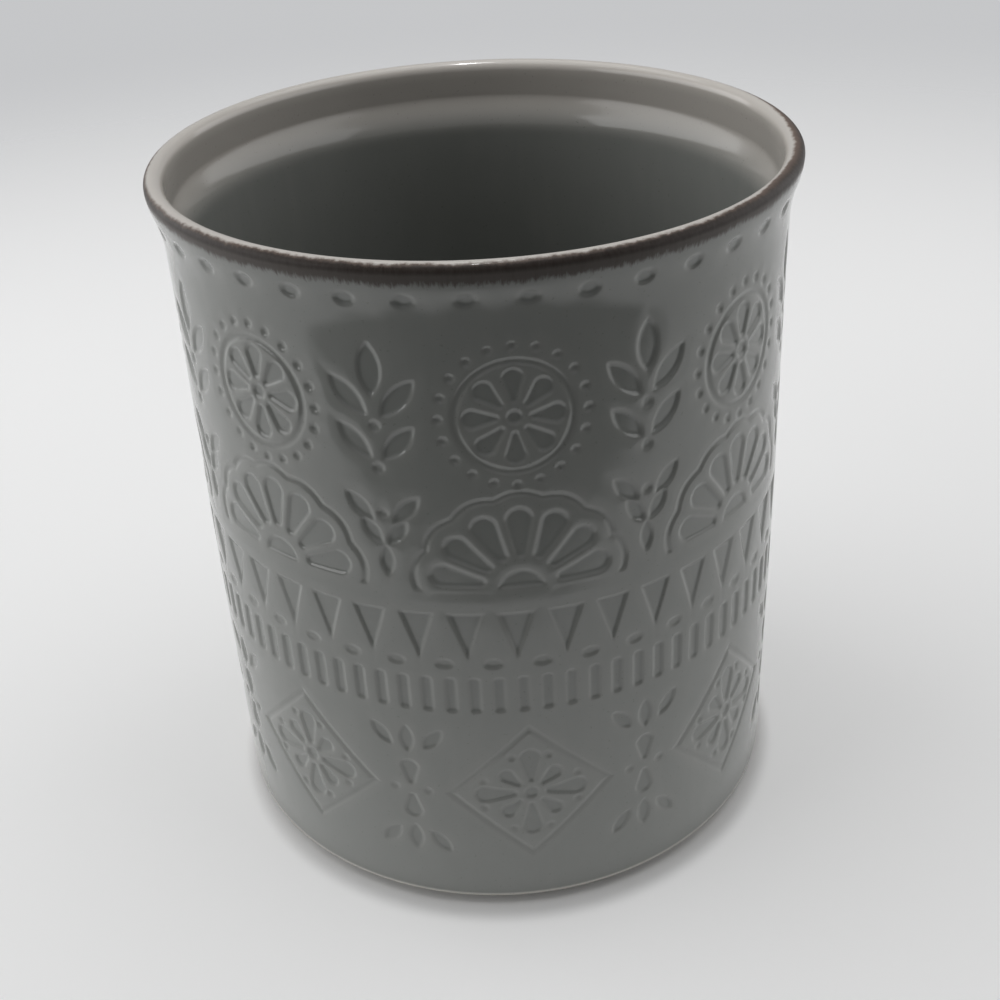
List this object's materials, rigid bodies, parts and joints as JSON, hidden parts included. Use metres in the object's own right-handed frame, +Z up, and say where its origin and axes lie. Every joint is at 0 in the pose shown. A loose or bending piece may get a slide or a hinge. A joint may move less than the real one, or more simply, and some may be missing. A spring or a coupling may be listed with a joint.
{
  "type": "utensil holder",
  "caption": "Round glazed stoneware utensil crock with an open well, a flared brown-edged lip and lace-like relief pressed into its wall.",
  "frame": {"origin": "centre of the foot, on the surface that the crock stands on", "axes": "+Z up along the axis of the crock, -Y towards the pictured front, +X to the right of that front"},
  "size_m": [0.1562, 0.1562, 0.179],
  "materials": {
    "grey_glaze": "glossy warm grey glaze",
    "brown_edge": "brown wash under clear glaze, brushed on",
    "bare_clay": "unglazed, wiped foot"
  },
  "bodies": {
    "root": {"foot_ring": "bare_clay", "floor_slab": "grey_glaze", "crock_wall": "grey_glaze", "rim_lip": "brown_edge"}
  },
  "joints": []
}
